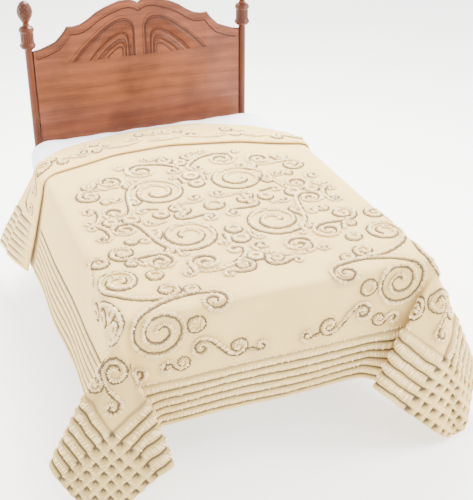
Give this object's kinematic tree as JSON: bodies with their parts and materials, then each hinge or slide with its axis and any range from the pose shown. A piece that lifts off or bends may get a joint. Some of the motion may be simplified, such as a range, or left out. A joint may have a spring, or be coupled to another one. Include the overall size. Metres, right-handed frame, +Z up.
{
  "type": "double bed dressed with a chenille bedspread",
  "caption": "Cream chenille bedspread with ribbed drops and hanging foot corners, draped over the mattress of a double bed with a turned-post wooden headboard.",
  "frame": {"origin": "on the floor, below the middle of the whole object's box", "axes": "+X across the bed, to the right as seen from the foot; +Y from the foot towards the headboard; +Z up"},
  "size_m": [1.9429, 2.2298, 1.521],
  "materials": {
    "chenille": "tufted cotton, matt",
    "sheeting": "plain white sheet",
    "ticking": "plain woven cover",
    "cherry": "satin varnish"
  },
  "bodies": {
    "root": {"bedspread": "chenille", "mattress": "sheeting", "base": "ticking", "headboard": "cherry", "post_left": "cherry", "post_right": "cherry", "rail_left": "cherry", "rail_right": "cherry"}
  },
  "joints": []
}
